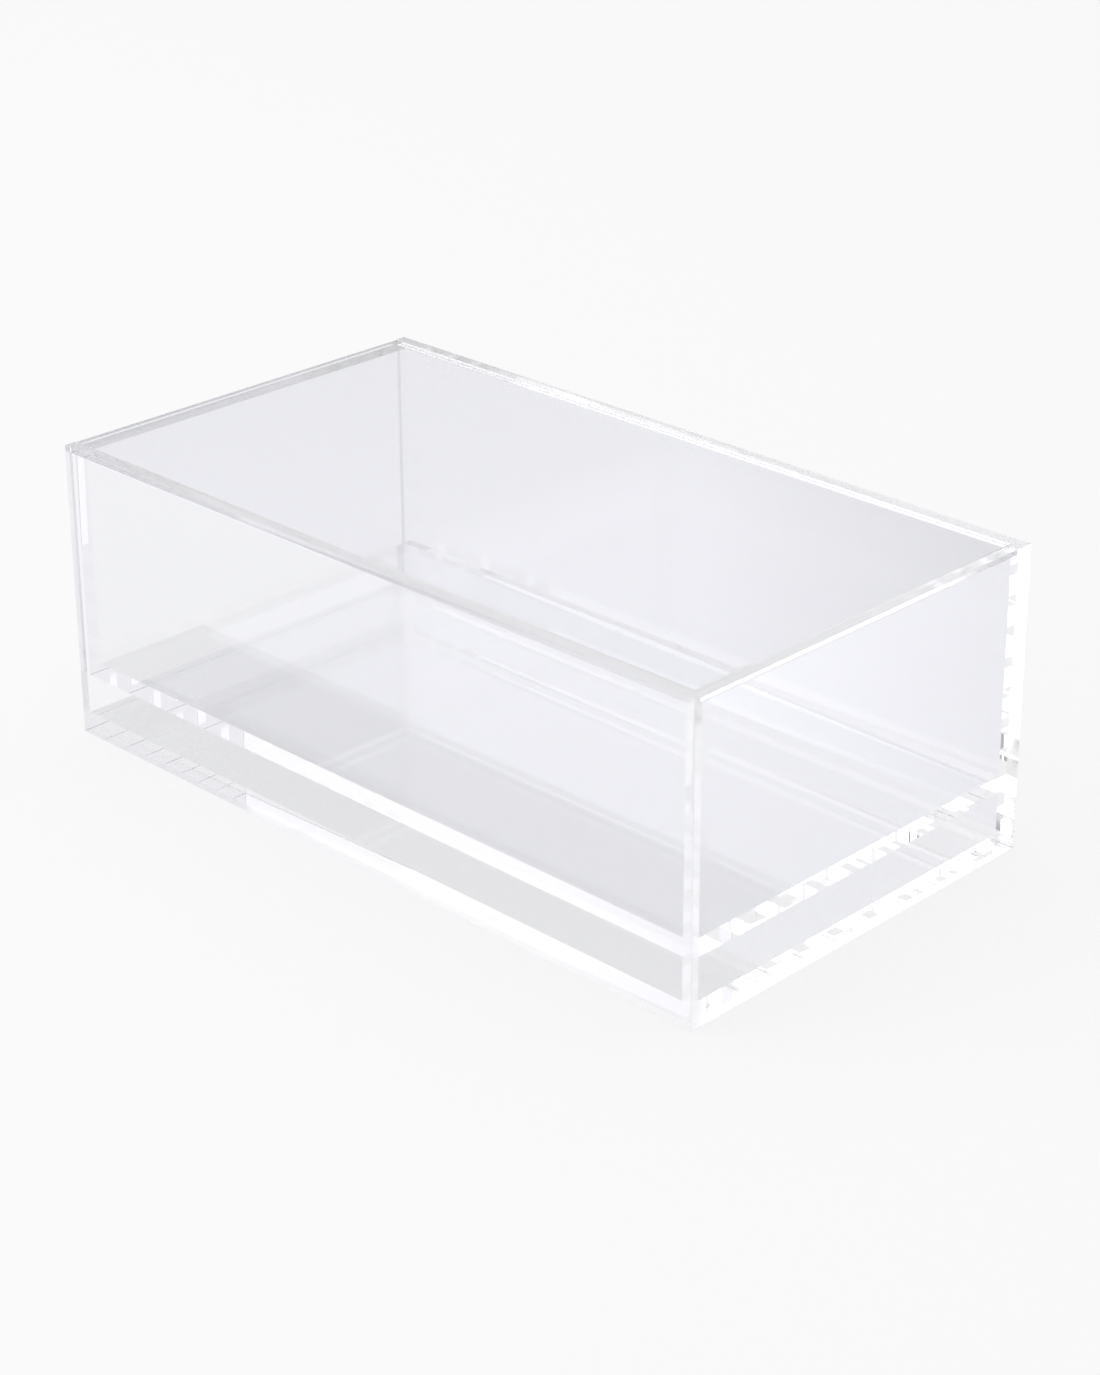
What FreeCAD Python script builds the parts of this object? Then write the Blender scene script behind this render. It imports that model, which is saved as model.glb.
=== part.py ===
"""Clear acrylic storage box: a compartment under a flush sliding lid, over a shallow open-ended slot.

The box is seven plates of sheet acrylic. The front and back walls run the full length and cap the two
end walls. The raised floor is welded between the four walls, and the base plate closes the underside, so a
slot lies between the two that opens at the left end. The left end wall stands a little in from the ends of
the long walls, starts at the raised floor and stops under the lid. The lid lies flush between the rims, on a
narrow ledge cut along the front, back and right walls, and slides out over the left end wall.

Frame: origin at the centre of the underside, +X along the length towards the closed end, +Y towards the
back, +Z up. Millimetres.
"""

import FreeCAD, Part

import os

# Driving dimensions: sheet alias, size and what it measures
SIZES = [
    ("box_length", 270.0, "outside, left end to right end"),
    ("box_width", 147.0, "outside, front to back"),
    ("box_height", 101.0, "underside to rim"),
    ("wall_thickness", 6.0, "front and back walls"),
    ("end_thickness", 6.0, "left and right end walls"),
    ("end_inset", 1.5, "left end wall, in from the left end of the long walls"),
    ("floor_thickness", 6.0, "raised floor of the compartment"),
    ("base_thickness", 6.0, "base plate"),
    ("slot_height", 14.0, "clear height between base plate and raised floor"),
    ("lid_thickness", 3.0, "lid plate"),
    ("lid_setback", 0.5, "lid's left edge, in from the left end of the long walls"),
    ("ledge_width", 2.0, "ledge that carries the lid, cut into the walls"),
    ("lid_side_gap", 0.2, "lid edge to the wall beside it"),
    ("lid_seat_gap", 0.1, "lid underside to the ledge it slides on"),
    ("cut_overrun", 2.0, "how far a cutting block stands out past the face it cuts"),
]

SHEET_NAME = "Sizes"


def sized(formula):
    """Return a formula in the sheet's aliases as an expression that other objects can use."""
    words = formula.replace("(", " ( ").replace(")", " ) ").split()
    aliases = {alias for alias, size, note in SIZES}
    return " ".join(f"{SHEET_NAME}.{word}" if word in aliases else word for word in words)


# Levels and spans that several plates share
INNER_WIDTH = "( box_width - 2 * wall_thickness )"
INNER_FRONT = f"( - {INNER_WIDTH} / 2 )"
LEFT_FACE = "( - box_length / 2 )"
LEFT_WALL_FACE = f"( {LEFT_FACE} + end_inset )"
LEFT_INNER_FACE = f"( {LEFT_WALL_FACE} + end_thickness )"
RIGHT_INNER_FACE = "( box_length / 2 - end_thickness )"
SLOT_TOP = "( base_thickness + slot_height )"
LEDGE_LEVEL = "( box_height - lid_thickness - lid_seat_gap )"
LEDGE_END = f"( {RIGHT_INNER_FACE} + ledge_width )"
LID_START = f"( {LEFT_FACE} + lid_setback )"
LID_WIDTH = f"( {INNER_WIDTH} + 2 * ledge_width - 2 * lid_side_gap )"


def make_sheet(doc):
    """Write the driving dimensions into an aliased sheet, one row each."""
    sheet = doc.addObject("Spreadsheet::Sheet", SHEET_NAME)
    for row, (alias, size, note) in enumerate(SIZES, start=1):
        sheet.set(f"A{row}", alias)
        sheet.set(f"B{row}", str(size))
        sheet.setAlias(f"B{row}", alias)
        sheet.set(f"C{row}", note)
    doc.recompute()
    return sheet


def make_block(doc, name, corner, extent):
    """Add a rectangular block from its low corner and its extent along X, Y and Z, all as formulas."""
    block = doc.addObject("Part::Box", name)
    block.Label = name
    for size_name, formula in zip(("Length", "Width", "Height"), extent):
        block.setExpression(size_name, sized(formula))
    for axis, formula in zip("xyz", corner):
        block.setExpression(f".Placement.Base.{axis}", sized(formula))
    return block


def cut_ledge(doc, name, blank, corner, extent):
    """Cut the lid's ledge out of a wall blank and name the result."""
    wall = doc.addObject("Part::Cut", name)
    wall.Label = name
    wall.Base = blank
    wall.Tool = make_block(doc, f"{name}_ledge_cut", corner, extent)
    return wall


def make_long_wall(doc, name, outer_side):
    """Front (outer_side -1) or back (+1) wall: full length and height, with the lid's ledge inside its rim.

    The ledge runs in from the left end and stops where the lid ends, inside the right end wall.
    """
    outer_face = f"( {outer_side} * box_width / 2 )"
    inner_face = f"( {outer_side} * {INNER_WIDTH} / 2 )"
    ledge_face = f"( {inner_face} + {outer_side} * ledge_width )"
    air_side = f"( {inner_face} - {outer_side} * cut_overrun )"
    low_face = outer_face if outer_side < 0 else inner_face
    low_cut = ledge_face if outer_side < 0 else air_side
    blank = make_block(
        doc,
        f"{name}_blank",
        (LEFT_FACE, low_face, "0"),
        ("box_length", "wall_thickness", "box_height"),
    )
    return cut_ledge(
        doc,
        name,
        blank,
        (f"{LEFT_FACE} - cut_overrun", low_cut, LEDGE_LEVEL),
        (
            f"{LEDGE_END} - {LEFT_FACE} + cut_overrun",
            "ledge_width + cut_overrun",
            f"box_height - {LEDGE_LEVEL} + cut_overrun",
        ),
    )


def make_right_end_wall(doc):
    """Full-height end wall between the long walls, with the ledge that carries the lid's inner end."""
    blank = make_block(
        doc,
        "right_end_wall_blank",
        (RIGHT_INNER_FACE, INNER_FRONT, "0"),
        ("end_thickness", INNER_WIDTH, "box_height"),
    )
    return cut_ledge(
        doc,
        "right_end_wall",
        blank,
        (f"{RIGHT_INNER_FACE} - cut_overrun", f"{INNER_FRONT} - cut_overrun", LEDGE_LEVEL),
        (
            "ledge_width + cut_overrun",
            f"{INNER_WIDTH} + 2 * cut_overrun",
            f"box_height - {LEDGE_LEVEL} + cut_overrun",
        ),
    )


def make_left_end_wall(doc):
    """Lower end wall: from the slot's ceiling up to the underside of the lid that slides over it."""
    return make_block(
        doc,
        "left_end_wall",
        (LEFT_WALL_FACE, INNER_FRONT, SLOT_TOP),
        ("end_thickness", INNER_WIDTH, f"{LEDGE_LEVEL} - {SLOT_TOP}"),
    )


def make_raised_floor(doc):
    """Floor of the compartment, welded between the four walls."""
    return make_block(
        doc,
        "raised_floor",
        (LEFT_INNER_FACE, INNER_FRONT, SLOT_TOP),
        (f"{RIGHT_INNER_FACE} - {LEFT_INNER_FACE}", INNER_WIDTH, "floor_thickness"),
    )


def make_base_plate(doc):
    """Plate under the slot, from the open left end to the right end wall."""
    return make_block(
        doc,
        "base_plate",
        (LEFT_FACE, INNER_FRONT, "0"),
        ("box_length - end_thickness", INNER_WIDTH, "base_thickness"),
    )


def make_lid(doc):
    """Lid plate: flush with the rims, a little short of the left end, carried on the ledges."""
    return make_block(
        doc,
        "lid",
        (LID_START, f"- {LID_WIDTH} / 2", "box_height - lid_thickness"),
        (f"{LEDGE_END} - lid_side_gap - {LID_START}", LID_WIDTH, "lid_thickness"),
    )


def check_document(doc, plates):
    """Stop unless every object computed and every plate is one valid solid."""
    for item in doc.Objects:
        if "Invalid" in item.State or "Error" in item.State:
            raise RuntimeError(f"{item.Label} did not compute: {item.State}")
    for item in plates:
        if item.Shape.isNull() or not item.Shape.isValid():
            raise RuntimeError(f"{item.Label} has no valid shape")
        if len(item.Shape.Solids) != 1:
            raise RuntimeError(f"{item.Label} is not one solid")


def main():
    """Build the box and write one file for each plate."""
    doc = FreeCAD.newDocument("acrylic_box")
    make_sheet(doc)
    plates = [
        make_long_wall(doc, "front_wall", -1),
        make_long_wall(doc, "back_wall", 1),
        make_left_end_wall(doc),
        make_right_end_wall(doc),
        make_raised_floor(doc),
        make_base_plate(doc),
        make_lid(doc),
    ]
    doc.recompute()
    check_document(doc, plates)
    os.makedirs("parts", exist_ok=True)
    for item in plates:
        item.Shape.exportStep(f"parts/{item.Label}.step")
        bounds = item.Shape.BoundBox
        print(f"{item.Label}: {item.Shape.Volume:.0f} mm3, x {bounds.XMin:.2f} to {bounds.XMax:.2f},"
              f" y {bounds.YMin:.2f} to {bounds.YMax:.2f}, z {bounds.ZMin:.2f} to {bounds.ZMax:.2f}")


main()
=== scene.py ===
"""Looks of a clear acrylic storage box: seven welded and loose plates of polished sheet in a pale studio.

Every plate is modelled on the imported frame. Where two plates are solvent-welded the joint lets light pass
straight through, as in one piece of acrylic, so that light runs along the sheets and comes out at their
edges. The lid is a loose plate with air all round it.
"""

import logging
import math
from contextlib import contextmanager
from dataclasses import dataclass, field
from enum import Enum
from typing import Callable, Iterator, Optional

import bmesh
import bpy
from mathutils import Matrix, Vector


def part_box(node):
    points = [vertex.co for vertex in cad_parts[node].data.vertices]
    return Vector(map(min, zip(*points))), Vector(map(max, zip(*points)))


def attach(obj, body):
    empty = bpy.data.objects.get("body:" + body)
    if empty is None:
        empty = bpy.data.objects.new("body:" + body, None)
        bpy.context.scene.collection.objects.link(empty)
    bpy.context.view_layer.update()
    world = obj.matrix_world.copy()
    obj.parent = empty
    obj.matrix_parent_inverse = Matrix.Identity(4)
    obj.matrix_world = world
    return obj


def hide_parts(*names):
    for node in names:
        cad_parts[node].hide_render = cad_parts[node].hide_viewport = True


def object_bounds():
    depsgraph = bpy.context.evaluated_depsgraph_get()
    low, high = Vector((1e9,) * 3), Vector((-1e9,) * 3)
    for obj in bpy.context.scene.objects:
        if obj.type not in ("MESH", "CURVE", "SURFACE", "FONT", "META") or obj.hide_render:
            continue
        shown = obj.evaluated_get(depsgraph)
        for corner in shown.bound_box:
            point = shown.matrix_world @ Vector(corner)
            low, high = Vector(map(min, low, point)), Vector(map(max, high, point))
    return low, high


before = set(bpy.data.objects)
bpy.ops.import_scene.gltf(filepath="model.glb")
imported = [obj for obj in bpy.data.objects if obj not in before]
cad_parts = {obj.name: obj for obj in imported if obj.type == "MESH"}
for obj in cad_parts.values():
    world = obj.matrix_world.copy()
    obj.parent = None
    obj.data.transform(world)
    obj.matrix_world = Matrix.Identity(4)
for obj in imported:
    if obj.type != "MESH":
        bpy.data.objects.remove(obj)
CAD_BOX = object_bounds()

log = logging.getLogger("acrylic_box")

MM = 0.001

# Frame axes by their index
X, Y, Z = range(3)
# Decimal places of a metre that the frame's corners are read to
DIGITS = 6
# Product of two unit vectors from which they count as lying along one line
ALIGNED = 0.5
# Turn between two faces up to which they count as one, in radians
FLAT = math.radians(1.0)


class Skin(Enum):
    """The surfaces of a plate, in the order of its material slots."""

    SHEET = 0
    EDGE = 1
    ARRIS = 2
    WELD = 3


# Working with meshes


def deselect_all() -> None:
    """Leave object mode with nothing selected."""
    if bpy.context.object and bpy.context.object.mode != "OBJECT":
        bpy.ops.object.mode_set(mode="OBJECT")
    bpy.ops.object.select_all(action="DESELECT")


def start_block(name: str, low: Vector, high: Vector) -> bpy.types.Object:
    """Add a block that fills the space between two corners.

    Args:
        name: Name of the new piece.
        low: Lowest corner, in metres.
        high: Highest corner, in metres.

    Returns:
        The new object, at the origin, with its place in its mesh.
    """
    deselect_all()
    bpy.ops.mesh.primitive_cube_add(size=1.0, location=(low + high) / 2)
    block = bpy.context.object
    block.name = name
    block.data.name = name
    block.scale = high - low
    bpy.ops.object.transform_apply(location=True, rotation=True, scale=True)
    return block


@contextmanager
def editing(piece: bpy.types.Object) -> Iterator[None]:
    """Hold one piece in edit mode, alone in the selection.

    Args:
        piece: The object to edit.
    """
    deselect_all()
    piece.select_set(True)
    bpy.context.view_layer.objects.active = piece
    bpy.ops.object.mode_set(mode="EDIT")
    yield
    bpy.ops.object.mode_set(mode="OBJECT")


class MeshPart(Enum):
    """What can be selected on a mesh, by the name of its select mode."""

    FACE = "FACE"
    EDGE = "EDGE"


FaceTest = Callable[[bmesh.types.BMFace], bool]
EdgeTest = Callable[[bmesh.types.BMEdge], bool]


def select(piece: bpy.types.Object, part: MeshPart, chosen: FaceTest | EdgeTest) -> int:
    """Select faces or edges of a piece in edit mode.

    Args:
        piece: The object in edit mode.
        part: Which of the two are selected.
        chosen: Test that a face or an edge has to pass.

    Returns:
        How many were selected.
    """
    bpy.ops.mesh.select_mode(type=part.value)
    bpy.ops.mesh.select_all(action="DESELECT")
    mesh = bmesh.from_edit_mesh(piece.data)
    items = mesh.faces if part is MeshPart.FACE else mesh.edges
    picked = [item for item in items if chosen(item)]
    for item in picked:
        item.select_set(True)
    bmesh.update_edit_mesh(piece.data)
    return len(picked)


def along(axis: int, length: float = 1.0) -> Vector:
    """Return the vector of a length along a frame axis."""
    vector = Vector((0.0, 0.0, 0.0))
    vector[axis] = length
    return vector


def bearing(azimuth: float, elevation: float) -> Vector:
    """Return the unit vector from the box towards a place round it.

    Args:
        azimuth: Degrees from the front, towards the box's right end.
        elevation: Degrees above the floor.

    Returns:
        The direction.
    """
    turn = math.radians(azimuth)
    tilt = math.radians(elevation)
    return Vector((math.sin(turn) * math.cos(tilt), -math.cos(turn) * math.cos(tilt), math.sin(tilt)))


# Working with materials


def start_material(name: str) -> tuple[bpy.types.Material, bpy.types.Nodes, bpy.types.NodeLinks]:
    """Return a new material with its nodes and links."""
    material = bpy.data.materials.new(name)
    material.use_nodes = True
    return material, material.node_tree.nodes, material.node_tree.links


def add_range(
    nodes: bpy.types.Nodes, start: float, end: float, at_start: float, at_end: float
) -> bpy.types.Node:
    """Add a node that runs from one value to another while its input runs over a range.

    Args:
        nodes: Nodes of the material.
        start: Input where the range starts.
        end: Input where the range ends.
        at_start: Result up to the start.
        at_end: Result from the end on.

    Returns:
        The node.
    """
    node = nodes.new("ShaderNodeMapRange")
    node.inputs["From Min"].default_value = start
    node.inputs["From Max"].default_value = end
    node.inputs["To Min"].default_value = at_start
    node.inputs["To Max"].default_value = at_end
    return node


# Finishes


@dataclass(frozen=True)
class AcrylicFinish:
    """Clear cast acrylic: a see-through sheet whose polish carries a faint ripple.

    Attributes:
        name: Material name.
        tint: Colour that light keeps on its way through one sheet.
        ior: Refractive index.
        roughness: How far short of a full polish the surface is, from 0 to 1.
        clarity: Share of the light that passes into the acrylic. The rest is scattered white at the surface.
        ripple_length: Length of one ripple, in metres.
        ripple_depth: Depth of the ripple, in metres.
    """

    name: str
    tint: tuple[float, float, float]
    ior: float
    roughness: float
    clarity: float
    ripple_length: float
    ripple_depth: float

    def material(self) -> bpy.types.Material:
        """Return the finish as a new material."""
        material, nodes, links = start_material(self.name)
        shader = nodes["Principled BSDF"]
        shader.inputs["Base Color"].default_value = (*self.tint, 1.0)
        shader.inputs["Roughness"].default_value = self.roughness
        shader.inputs["IOR"].default_value = self.ior
        shader.inputs["Transmission Weight"].default_value = self.clarity
        place = nodes.new("ShaderNodeTexCoord")
        stretch = nodes.new("ShaderNodeMapping")
        stretch.inputs["Scale"].default_value = [1.0 / self.ripple_length] * 3
        ripple = nodes.new("ShaderNodeTexNoise")
        ripple.inputs["Scale"].default_value = 1.0
        ripple.inputs["Detail"].default_value = 1.0
        relief = nodes.new("ShaderNodeBump")
        relief.inputs["Strength"].default_value = 1.0
        relief.inputs["Distance"].default_value = self.ripple_depth
        links.new(place.outputs["Object"], stretch.inputs["Vector"])
        links.new(stretch.outputs["Vector"], ripple.inputs["Vector"])
        links.new(ripple.outputs["Fac"], relief.inputs["Height"])
        links.new(relief.outputs["Normal"], shader.inputs["Normal"])
        return material


@dataclass(frozen=True)
class WeldFinish:
    """Solvent weld: two sheets run into one, so light passes without a surface.

    Attributes:
        name: Material name.
    """

    name: str

    def material(self) -> bpy.types.Material:
        """Return the finish as a new material."""
        material, nodes, links = start_material(self.name)
        nodes.remove(nodes["Principled BSDF"])
        clear = nodes.new("ShaderNodeBsdfTransparent")
        links.new(clear.outputs["BSDF"], nodes["Material Output"].inputs["Surface"])
        return material


ACRYLIC_TINT = (0.966, 0.967, 0.981)
ACRYLIC_IOR = 1.49

SHEET_FINISH = AcrylicFinish(
    name="acrylic_sheet_face",
    tint=ACRYLIC_TINT,
    ior=ACRYLIC_IOR,
    roughness=0.0,
    clarity=1.0,
    ripple_length=60 * MM,
    ripple_depth=0.01 * MM,
)
EDGE_FINISH = AcrylicFinish(
    name="acrylic_polished_edge",
    tint=ACRYLIC_TINT,
    ior=ACRYLIC_IOR,
    roughness=0.12,
    clarity=1.0,
    ripple_length=14 * MM,
    ripple_depth=0.006 * MM,
)
ARRIS_FINISH = AcrylicFinish(
    name="acrylic_scraped_arris",
    tint=ACRYLIC_TINT,
    ior=ACRYLIC_IOR,
    roughness=0.5,
    clarity=0.3,
    ripple_length=5 * MM,
    ripple_depth=0.006 * MM,
)
WELD_FINISH = WeldFinish(name="acrylic_solvent_weld")


# The plates


@dataclass(frozen=True)
class Solid:
    """Space that a plate fills: a block, less the step that some walls have for the lid.

    Attributes:
        low: Lowest corner of the block.
        high: Highest corner of the block.
        step_low: Lowest corner of the step that is cut away, if there is one.
        step_high: Highest corner of that step.
    """

    low: Vector
    high: Vector
    step_low: Optional[Vector] = None
    step_high: Optional[Vector] = None

    def holds(self, point: Vector) -> bool:
        """Tell whether a point lies inside the plate."""
        inside = all(self.low[i] < point[i] < self.high[i] for i in range(3))
        if not inside or self.step_low is None:
            return inside
        return not all(self.step_low[i] < point[i] < self.step_high[i] for i in range(3))

    def planes(self, axis: int) -> list[float]:
        """Return the places along an axis where the plate has faces across it."""
        found = [self.low[axis], self.high[axis]]
        if self.step_low is not None:
            found += [self.step_low[axis], self.step_high[axis]]
        return found

    def thin_axis(self) -> int:
        """Return the axis across the sheet's thickness."""
        extent = self.high - self.low
        return min(range(3), key=lambda i: extent[i])


@dataclass
class Plate:
    """One plate of sheet acrylic that stands for a node of the frame.

    Attributes:
        node: Name of the frame's node.
        body: Body that the plate moves with.
        slot: Material slot of the record that the plate takes its finish from.
        solid: Space that the plate fills.
        welded_to: Solids that are welded to this plate.
        arris: Width of the softened outer edges, in metres.
        arris_segments: Steps round a softened edge.
        reach: How far beside a surface its neighbour is looked for, in metres.
        tolerance: Difference between places that count as the same, in metres.
        square: Share of a face's normal along one axis from which it counts as square to it.
        piece: The plate's object, once it has been started.
    """

    node: str
    body: str
    slot: str
    solid: Solid
    welded_to: list[Solid] = field(default_factory=list)
    arris: float = 0.08 * MM
    arris_segments: int = 2
    reach: float = 0.02 * MM
    tolerance: float = 0.001 * MM
    square: float = 0.99
    piece: Optional[bpy.types.Object] = None

    def build(self, skins: dict[Skin, bpy.types.Material]) -> bpy.types.Object:
        """Model the plate, dress it and put it in the frame.

        Args:
            skins: Material of each kind of surface.

        Returns:
            The finished object.
        """
        self.shape()
        with editing(self.piece):
            self.split_welds()
            self.soften_edges()
        self.dress(skins)
        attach(self.piece, self.body)
        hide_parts(self.node)
        return self.piece

    def shape(self) -> None:
        """Make the blank and, where a step is cut for the lid, raise the rim beside the step."""
        solid = self.solid
        name = f"clear_{self.node}"
        if solid.step_low is None:
            self.piece = start_block(name, solid.low, solid.high)
            return
        ledge = solid.step_low.z
        self.piece = start_block(name, solid.low, Vector((solid.high.x, solid.high.y, ledge)))
        with editing(self.piece):
            for axis in (X, Y):
                for place in (solid.step_low[axis], solid.step_high[axis]):
                    self.cut(lambda face: face.normal.z > ALIGNED, axis, place)
            lift = along(Z, self.reach)
            select(
                self.piece,
                MeshPart.FACE,
                lambda face: face.normal.z > ALIGNED and solid.holds(face.calc_center_bounds() + lift),
            )
            bpy.ops.mesh.extrude_region_move(
                TRANSFORM_OT_translate={"value": along(Z, solid.high.z - ledge)}
            )
            bpy.ops.mesh.select_all(action="SELECT")
            bpy.ops.mesh.dissolve_limited(angle_limit=FLAT)
            bpy.ops.mesh.normals_make_consistent(inside=False)

    def cut(self, chosen: FaceTest, axis: int, place: float) -> None:
        """Cut the chosen faces along a plane across an axis, if the plane passes inside the plate.

        Args:
            chosen: Test that a face has to pass.
            axis: Axis that the plane lies across.
            place: Where on that axis it lies.
        """
        if not self.solid.low[axis] + self.tolerance < place < self.solid.high[axis] - self.tolerance:
            return
        if select(self.piece, MeshPart.FACE, chosen):
            bpy.ops.mesh.bisect(
                plane_co=along(axis, place), plane_no=along(axis), use_fill=False, threshold=self.tolerance
            )

    def contact_planes(self) -> list[tuple[int, float, Solid]]:
        """Return the axis and place of each plane where a weld lies, with the solid beyond it."""
        found = []
        for other in self.welded_to:
            for axis in range(3):
                across = [i for i in range(3) if i != axis]
                overlaps = all(
                    self.solid.low[i] < other.high[i] - self.tolerance
                    and other.low[i] < self.solid.high[i] - self.tolerance
                    for i in across
                )
                if not overlaps:
                    continue
                if abs(self.solid.high[axis] - other.low[axis]) < self.tolerance:
                    found.append((axis, self.solid.high[axis], other))
                if abs(self.solid.low[axis] - other.high[axis]) < self.tolerance:
                    found.append((axis, self.solid.low[axis], other))
        return found

    def split_welds(self) -> None:
        """Cut the faces that neighbours are welded to along the neighbours' outlines."""
        for axis, place, other in self.contact_planes():
            for side in (i for i in range(3) if i != axis):
                for outline in other.planes(side):
                    self.cut(
                        lambda face: abs(face.calc_center_bounds()[axis] - place) < self.tolerance
                        and abs(face.normal[axis]) > ALIGNED,
                        side,
                        outline,
                    )

    def soften_edges(self) -> None:
        """Round over the outer edges that no neighbour covers."""
        planes = [(axis, place) for axis, place, other in self.contact_planes()]

        def exposed(edge: bmesh.types.BMEdge) -> bool:
            """Tell whether an edge stands out into the air."""
            if len(edge.link_faces) != 2 or not edge.is_convex:
                return False
            first, second = (face.normal for face in edge.link_faces)
            if abs(first.dot(second)) > ALIGNED:
                return False
            ends = [vert.co for vert in edge.verts]
            for axis, place in planes:
                if all(abs(end[axis] - place) < self.tolerance for end in ends):
                    return False
            middle = (ends[0] + ends[1]) / 2
            around = [
                middle + self.reach * (a * first + b * second) for a, b in ((1, 1), (1, -1), (-1, 1))
            ]
            return not any(other.holds(point) for other in self.welded_to for point in around)

        if select(self.piece, MeshPart.EDGE, exposed):
            bpy.ops.mesh.bevel(
                offset=self.arris,
                offset_type="OFFSET",
                segments=self.arris_segments,
                affect="EDGES",
                clamp_overlap=True,
            )

    def skin_of(self, polygon: bpy.types.MeshPolygon) -> Skin:
        """Tell what kind of surface a face of the plate is.

        Args:
            polygon: The face.

        Returns:
            A weld, a softened edge, the sheet's own face, or its polished edge.
        """
        beside = polygon.center + self.reach * polygon.normal
        if any(other.holds(beside) for other in self.welded_to):
            return Skin.WELD
        if max(abs(part) for part in polygon.normal) < self.square:
            return Skin.ARRIS
        if abs(polygon.normal[self.solid.thin_axis()]) > ALIGNED:
            return Skin.SHEET
        return Skin.EDGE

    def dress(self, skins: dict[Skin, bpy.types.Material]) -> None:
        """Give each face its material.

        Args:
            skins: Material of each kind of surface.
        """
        for skin in Skin:
            self.piece.data.materials.append(skins[skin])
        for polygon in self.piece.data.polygons:
            polygon.material_index = self.skin_of(polygon).value


@dataclass
class WeldedBox:
    """The fixed part of the box: four walls, a raised floor and a base plate, welded edge to face.

    Attributes:
        body: Body of the frame that the plates move with.
        walls: Wall nodes.
        floors: Floor nodes.
        wall_slot: Material slot of the walls.
        floor_slot: Material slot of the floors.
        lid_play: Most play that the lid has beside it, in metres.
    """

    body: str = "box"
    walls: tuple[str, ...] = ("front_wall", "back_wall", "left_end_wall", "right_end_wall")
    floors: tuple[str, ...] = ("raised_floor", "base_plate")
    wall_slot: str = "acrylic_walls"
    floor_slot: str = "acrylic_floors"
    lid_play: float = 1 * MM

    def places(self, node: str, axis: int) -> list[float]:
        """Return the distinct places of a node's corners along an axis, lowest first."""
        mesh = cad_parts[node].data
        return sorted({round(vert.co[axis], DIGITS) for vert in mesh.vertices})

    def solid(self, node: str) -> Solid:
        """Return the space that a node fills, with the step for the lid that its own corners show.

        Args:
            node: Name of the frame's node.

        Returns:
            The node's block and step.
        """
        low, high = (Vector([round(value, DIGITS) for value in corner]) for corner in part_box(node))
        levels = self.places(node, Z)
        if len(levels) == 2:
            return Solid(low, high)
        step_low, step_high = low.copy(), high.copy()
        step_low.z = levels[1]
        lid_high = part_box("lid")[1]
        for axis in (X, Y):
            inner = self.places(node, axis)[1:-1]
            if not inner:
                continue
            beside_lid = lid_high[axis] > inner[0] - self.lid_play and high[axis] > lid_high[axis]
            if beside_lid:
                step_high[axis] = inner[0]
            else:
                step_low[axis] = inner[0]
        return Solid(low, high, step_low, step_high)

    def build(self, skins: dict[Skin, bpy.types.Material]) -> list[bpy.types.Object]:
        """Model, dress and place every plate.

        Args:
            skins: Material of each kind of surface.

        Returns:
            The finished plates.
        """
        solids = {node: self.solid(node) for node in self.walls + self.floors}
        pieces = []
        for node, solid in solids.items():
            plate = Plate(
                node=node,
                body=self.body,
                slot=self.wall_slot if node in self.walls else self.floor_slot,
                solid=solid,
                welded_to=[other for name, other in solids.items() if name != node],
            )
            pieces.append(plate.build(skins))
        return pieces


@dataclass
class SlidingLid:
    """The loose lid, a plate with all its edges softened and air round it.

    Attributes:
        node: Name of the frame's node.
        body: Body that it moves with.
        slot: Material slot of the record.
    """

    node: str = "lid"
    body: str = "lid"
    slot: str = "acrylic_lid"

    def build(self, skins: dict[Skin, bpy.types.Material]) -> bpy.types.Object:
        """Model, dress and place the lid.

        Args:
            skins: Material of each kind of surface.

        Returns:
            The finished lid.
        """
        low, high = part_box(self.node)
        plate = Plate(node=self.node, body=self.body, slot=self.slot, solid=Solid(low, high))
        return plate.build(skins)


# The studio


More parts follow.
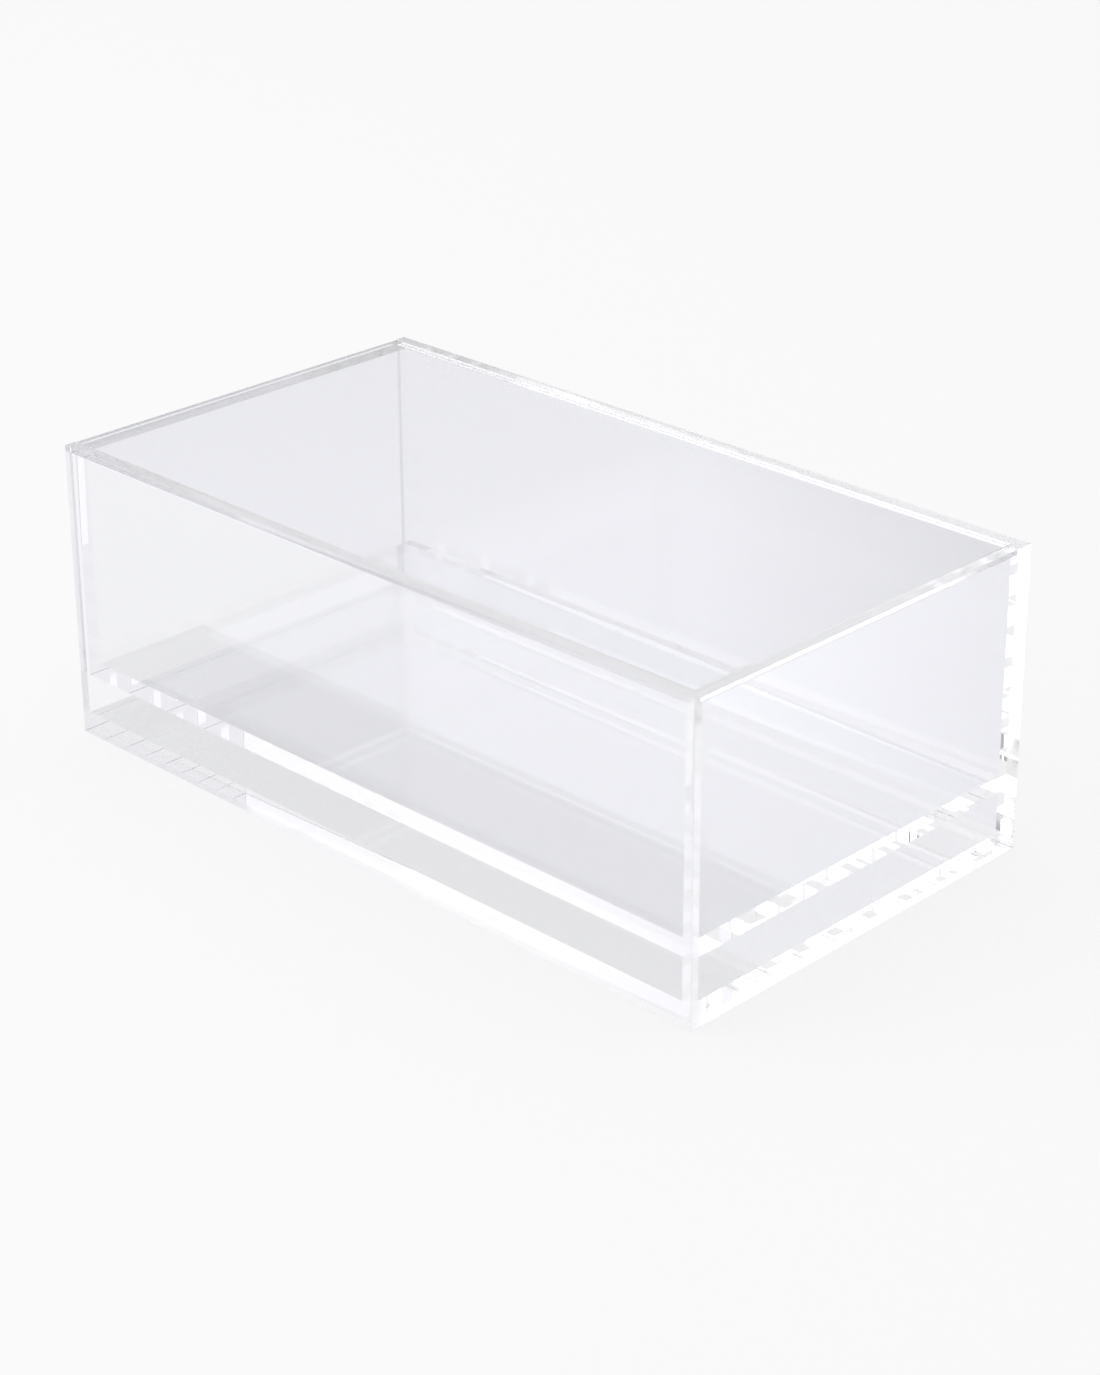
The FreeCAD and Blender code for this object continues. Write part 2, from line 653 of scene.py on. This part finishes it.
@dataclass
class Studio:
    """A pale floor under a soft dome of light, with a softbox and a white card close behind the box.

    The card is what gives clear acrylic its body in a photograph: it shows through the back wall, in the
    raised floor's gloss and in the sheets' edges, and stands outside the picture. It is painted light: it
    glows instead of being lit, is hidden from diffuse light and shadows, and shows only in reflections and
    through the acrylic.

    Attributes:
        floor_span: Width of the floor, in metres.
        floor_drop: How far the floor lies under the box, in metres.
        floor_colour: Colour of the floor's paper.
        backdrop: Brightness of the floor as a plain backdrop.
        backdrop_share: Share of the backdrop in what shows of the floor. The rest is its lit paper.
        card_gap: Distance of the card behind the box, in metres.
        card_rise: How far the card stands above the box's rim, in metres.
        card_left: How far the card reaches past the box's left end, in metres.
        card_glow: Colour and brightness of the card.
        card_fade: Share of that painted brightness which is left at the card's right end.
        card_painted_louvre: Share of its painted glow that it sends towards the left, as if through louvres
            that are not modelled.
        painted_louvre_blend: Sideways share of a ray, each way, over which that painted dimming sets in.
        softbox_azimuth: Where the softbox hangs, in degrees from the front towards the box's right end.
        softbox_elevation: Height of the softbox, in degrees.
        softbox_distance: Distance of the softbox, in metres.
        softbox_size: Width and height of the softbox, in metres.
        softbox_glow: Brightness of the softbox.
        dome: Height on the dome, from the horizon's 0 to the zenith's 1, and brightness there.
    """

    floor_span: float = 12.0
    floor_drop: float = 0.2 * MM
    floor_colour: tuple[float, float, float] = (0.93, 0.93, 0.93)
    backdrop: float = 0.956
    backdrop_share: float = 0.88
    card_gap: float = 9 * MM
    card_rise: float = 2 * MM
    card_left: float = 400 * MM
    card_glow: tuple[float, float, float] = (1.03, 1.03, 1.06)
    card_fade: float = 0.81
    card_painted_louvre: float = 0.87
    painted_louvre_blend: float = 0.2
    softbox_azimuth: float = -45.0
    softbox_elevation: float = 27.0
    softbox_distance: float = 1.6
    softbox_size: float = 1.4
    softbox_glow: float = 1.7
    dome: tuple[tuple[float, float], ...] = (
        (0.0, 0.95),
        (0.15, 0.9),
        (0.28, 0.54),
        (0.38, 0.52),
        (0.48, 0.34),
        (0.7, 0.36),
        (0.85, 1.4),
        (1.0, 1.7),
    )

    def build(self) -> None:
        """Lay the floor, stand the card up and hang the softbox and the dome."""
        self.lay_floor()
        self.stand_card()
        self.hang_softbox()
        self.hang_dome()

    def stand_card(self) -> None:
        """Stand the glowing white card behind the box, a little higher than it and longer towards the left.
        """
        low, high = CAD_BOX
        left = low.x - self.card_left
        top = high.z + self.card_rise
        deselect_all()
        bpy.ops.mesh.primitive_plane_add(
            size=1.0,
            location=((left + high.x) / 2, high.y + self.card_gap, (low.z + top) / 2),
            rotation=(math.radians(90.0), 0.0, 0.0),
        )
        card = bpy.context.object
        card.name = "studio_glow_card"
        card.scale = (high.x - left, top - low.z, 1.0)
        bpy.ops.object.transform_apply(location=True, rotation=True, scale=True)
        # Painted light: the card glows instead of being lit, and shows only in the acrylic's reflections and
        # through it.
        card.data.materials.append(self.card_material(high.x))
        card.visible_camera = False
        card.visible_diffuse = False
        card.visible_shadow = False

    def card_material(self, right: float) -> bpy.types.Material:
        """Return the card's glow, painted light, which fades from the middle of the box towards the card's
        right end.

        It sends less light towards the left, painted into the glow as if through louvres that are not
        modelled.

        Args:
            right: Place of the card's right end, in metres.

        Returns:
            The material.
        """
        material, nodes, links = start_material("studio_glow_card")
        nodes.remove(nodes["Principled BSDF"])
        place = nodes.new("ShaderNodeTexCoord")
        parts = nodes.new("ShaderNodeSeparateXYZ")
        fade = add_range(nodes, 0.0, right, 1.0, self.card_fade)
        way = nodes.new("ShaderNodeNewGeometry")
        way_parts = nodes.new("ShaderNodeSeparateXYZ")
        painted_louvre_node = add_range(nodes, -self.painted_louvre_blend, self.painted_louvre_blend, self.card_painted_louvre, 1.0)
        both = nodes.new("ShaderNodeMath")
        both.operation = "MULTIPLY"
        # Painted light: the glow dims towards the card's right end and for light sent towards the left.
        glow = nodes.new("ShaderNodeEmission")
        glow.inputs["Color"].default_value = (*self.card_glow, 1.0)
        links.new(place.outputs["Object"], parts.inputs["Vector"])
        links.new(parts.outputs["X"], fade.inputs["Value"])
        links.new(way.outputs["Incoming"], way_parts.inputs["Vector"])
        links.new(way_parts.outputs["X"], painted_louvre_node.inputs["Value"])
        links.new(fade.outputs["Result"], both.inputs[0])
        links.new(painted_louvre_node.outputs["Result"], both.inputs[1])
        links.new(both.outputs["Value"], glow.inputs["Strength"])
        links.new(glow.outputs["Emission"], nodes["Material Output"].inputs["Surface"])
        return material

    def hang_softbox(self) -> None:
        """Hang a broad softbox in front of the box, on its left, turned towards it."""
        away = bearing(self.softbox_azimuth, self.softbox_elevation)
        deselect_all()
        bpy.ops.object.light_add(
            type="AREA",
            location=self.softbox_distance * away,
            rotation=away.to_track_quat("Z", "Y").to_euler(),
        )
        softbox = bpy.context.object
        softbox.name = "studio_softbox"
        softbox.data.size = self.softbox_size
        softbox.data.energy = math.pi * self.softbox_glow * self.softbox_size ** 2
        softbox.visible_camera = False

    def lay_floor(self) -> None:
        """Add the floor, a wide sheet of paper."""
        deselect_all()
        bpy.ops.mesh.primitive_plane_add(size=self.floor_span, location=(0.0, 0.0, -self.floor_drop))
        floor = bpy.context.object
        floor.name = "studio_floor"
        bpy.ops.object.transform_apply(location=True, rotation=True, scale=True)
        floor.data.materials.append(self.floor_material())

    def floor_material(self) -> bpy.types.Material:
        """Return the floor's paper, part of which shows as an even backdrop."""
        material, nodes, links = start_material("studio_paper")
        paper = nodes["Principled BSDF"]
        paper.inputs["Base Color"].default_value = (*self.floor_colour, 1.0)
        paper.inputs["Roughness"].default_value = 1.0
        paper.inputs["Specular IOR Level"].default_value = 0.0
        even = nodes.new("ShaderNodeEmission")
        even.inputs["Color"].default_value = (self.backdrop, self.backdrop, self.backdrop, 1.0)
        path = nodes.new("ShaderNodeLightPath")
        seen = path.outputs["Is Camera Ray"]
        for ray in ("Is Glossy Ray", "Is Transmission Ray"):
            either = nodes.new("ShaderNodeMath")
            either.operation = "MAXIMUM"
            links.new(seen, either.inputs[0])
            links.new(path.outputs[ray], either.inputs[1])
            seen = either.outputs["Value"]
        share = nodes.new("ShaderNodeMath")
        share.operation = "MULTIPLY"
        share.inputs[1].default_value = self.backdrop_share
        links.new(seen, share.inputs[0])
        mix = nodes.new("ShaderNodeMixShader")
        links.new(share.outputs["Value"], mix.inputs["Fac"])
        links.new(paper.outputs["BSDF"], mix.inputs[1])
        links.new(even.outputs["Emission"], mix.inputs[2])
        links.new(mix.outputs["Shader"], nodes["Material Output"].inputs["Surface"])
        return material

    def hang_dome(self) -> None:
        """Light the scene from a dome: white at the horizon, dimmer above it, with a soft light overhead."""
        world = bpy.data.worlds.new("studio_dome")
        bpy.context.scene.world = world
        world.use_nodes = True
        nodes = world.node_tree.nodes
        links = world.node_tree.links
        sky = nodes["Background"]
        place = nodes.new("ShaderNodeTexCoord")
        parts = nodes.new("ShaderNodeSeparateXYZ")
        ramp = nodes.new("ShaderNodeValToRGB")
        stops = ramp.color_ramp.elements
        halfway = 0.5
        while len(stops) < len(self.dome):
            stops.new(halfway)
        for stop, (height, level) in zip(stops, self.dome):
            stop.position = height
            stop.color = (level, level, level, 1.0)
        links.new(place.outputs["Generated"], parts.inputs["Vector"])
        links.new(parts.outputs["Z"], ramp.inputs["Fac"])
        links.new(ramp.outputs["Color"], sky.inputs["Color"])


@dataclass
class PhotoCamera:
    """Camera at the photograph's viewing angle.

    Attributes:
        azimuth: Degrees round the box from the front, towards its right end.
        elevation: Degrees that the camera looks down.
        distance: Distance from the middle of the box, in metres.
        aside: Move to the camera's own right, in metres.
        raised: Move along the camera's own up direction, in metres.
        lens: Focal length, in millimetres on the sensor.
        sensor: Sensor's long side, in millimetres.
        shift_x: Sideways shift of the picture, as a share of its long side.
        shift_y: Upward shift of the picture, as a share of its long side.
        near: Distance from which things are drawn, in metres.
        far: Distance up to which things are drawn, in metres.
    """

    azimuth: float = 43.89
    elevation: float = 22.82
    distance: float = 0.9609
    aside: float = 0.0191
    raised: float = 0.0289
    lens: float = 80.64
    sensor: float = 36.0
    shift_x: float = -0.03
    shift_y: float = -0.1
    near: float = 10 * MM
    far: float = 50.0

    def build(self) -> None:
        """Add the camera and make it the scene's."""
        data = bpy.data.cameras.new("photo_camera")
        camera = bpy.data.objects.new("photo_camera", data)
        bpy.context.scene.collection.objects.link(camera)
        bpy.context.scene.camera = camera
        turn = math.radians(self.azimuth)
        back = bearing(self.azimuth, self.elevation)
        right = Vector((math.cos(turn), math.sin(turn), 0.0))
        up = back.cross(right)
        middle = (CAD_BOX[0] + CAD_BOX[1]) / 2
        place = middle + self.distance * back + self.aside * right + self.raised * up
        axes = Matrix((right, up, back)).transposed().to_4x4()
        camera.matrix_world = Matrix.Translation(place) @ axes
        data.sensor_width = self.sensor
        data.lens = self.lens
        data.shift_x = self.shift_x
        data.shift_y = self.shift_y
        data.clip_start = self.near
        data.clip_end = self.far


@dataclass
class LightPaths:
    """How far light is followed through the acrylic, with every pixel sampled alike.

    Attributes:
        bounces: Reflections and refractions that one path may have.
        welds: Clear joints that one path may cross.
    """

    bounces: int = 48
    welds: int = 96

    def apply(self) -> None:
        """Set the scene's light paths, even sampling, denoising and plain colour transform."""
        scene = bpy.context.scene
        scene.cycles.max_bounces = self.bounces
        scene.cycles.glossy_bounces = self.bounces
        scene.cycles.transmission_bounces = self.bounces
        scene.cycles.transparent_max_bounces = self.welds
        scene.cycles.use_adaptive_sampling = False
        scene.cycles.use_denoising = True
        scene.cycles.denoising_input_passes = "RGB"
        scene.view_settings.view_transform = "Standard"


def main() -> None:
    """Build the box, its studio and the camera, in order."""
    logging.basicConfig(level=logging.INFO, format="%(name)s: %(message)s")
    skins = {
        Skin.SHEET: SHEET_FINISH.material(),
        Skin.EDGE: EDGE_FINISH.material(),
        Skin.ARRIS: ARRIS_FINISH.material(),
        Skin.WELD: WELD_FINISH.material(),
    }
    pieces = WeldedBox().build(skins)
    pieces.append(SlidingLid().build(skins))
    for piece in pieces:
        welds = sum(polygon.material_index == Skin.WELD.value for polygon in piece.data.polygons)
        log.info("%s: %d faces, %d of them welded", piece.name, len(piece.data.polygons), welds)
    Studio().build()
    PhotoCamera().build()
    LightPaths().apply()


if __name__ == "__main__":
    main()
